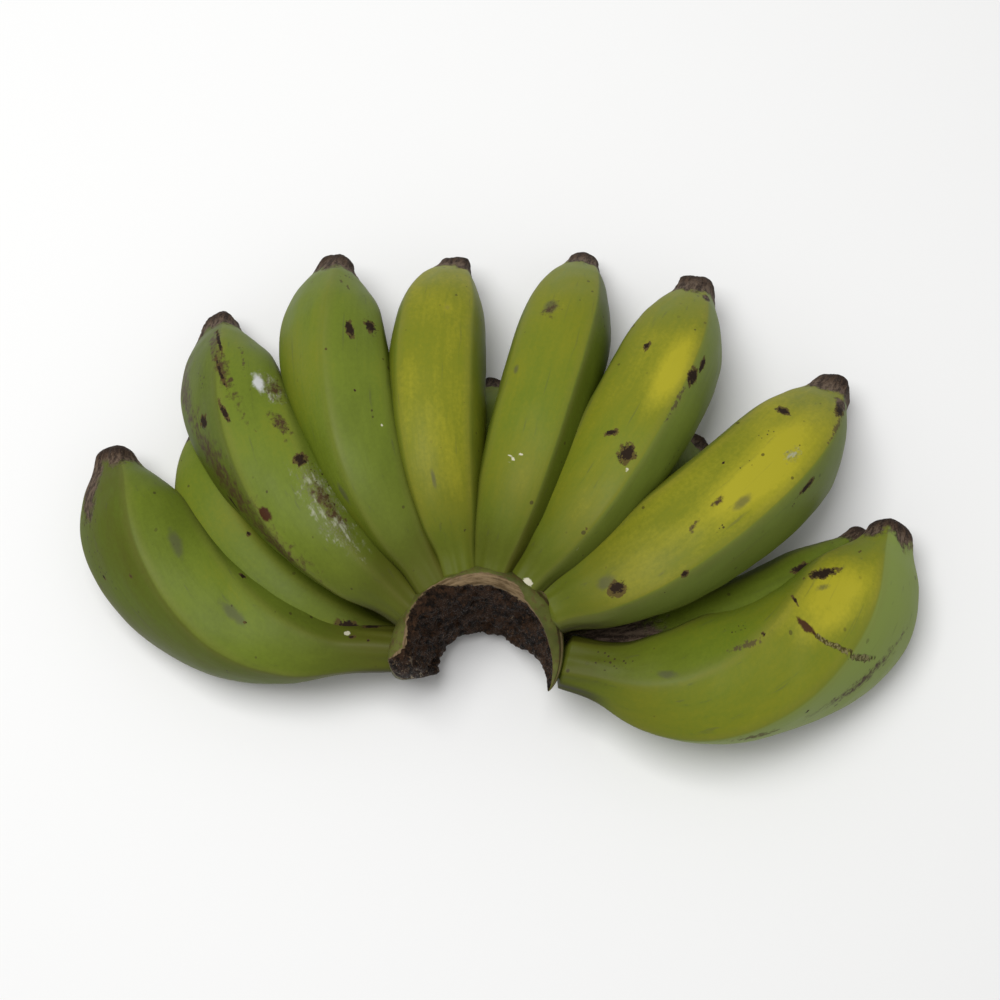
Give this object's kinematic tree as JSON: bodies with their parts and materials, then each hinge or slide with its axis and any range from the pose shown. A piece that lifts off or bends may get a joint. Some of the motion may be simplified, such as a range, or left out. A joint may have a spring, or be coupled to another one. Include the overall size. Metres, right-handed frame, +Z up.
{
  "type": "hand of bananas",
  "caption": "Hand of unripe green cooking bananas lying back side up: a cut C-shaped crown, an outer row of ridged, dark-tipped fingers on top and a shorter inner row in the gaps below.",
  "frame": {"origin": "middle of the bounding box, on the table that the hand lies on", "axes": "+X along the fan of fingers, +Y from the crown to the middle finger tips, +Z up from the table"},
  "size_m": [0.3233, 0.2034, 0.0738],
  "materials": {
    "skin": "satin, waxy green peel",
    "crown": "rough, dried fibrous cut"
  },
  "bodies": {
    "root": {"crown": "crown", "upper_finger_1": "skin", "upper_finger_2": "skin", "upper_finger_3": "skin", "upper_finger_4": "skin", "upper_finger_5": "skin", "upper_finger_6": "skin", "upper_finger_7": "skin", "upper_finger_8": "skin", "lower_finger_1": "skin", "lower_finger_2": "skin", "lower_finger_3": "skin", "lower_finger_4": "skin", "lower_finger_5": "skin", "lower_finger_6": "skin", "lower_finger_7": "skin"}
  },
  "joints": []
}
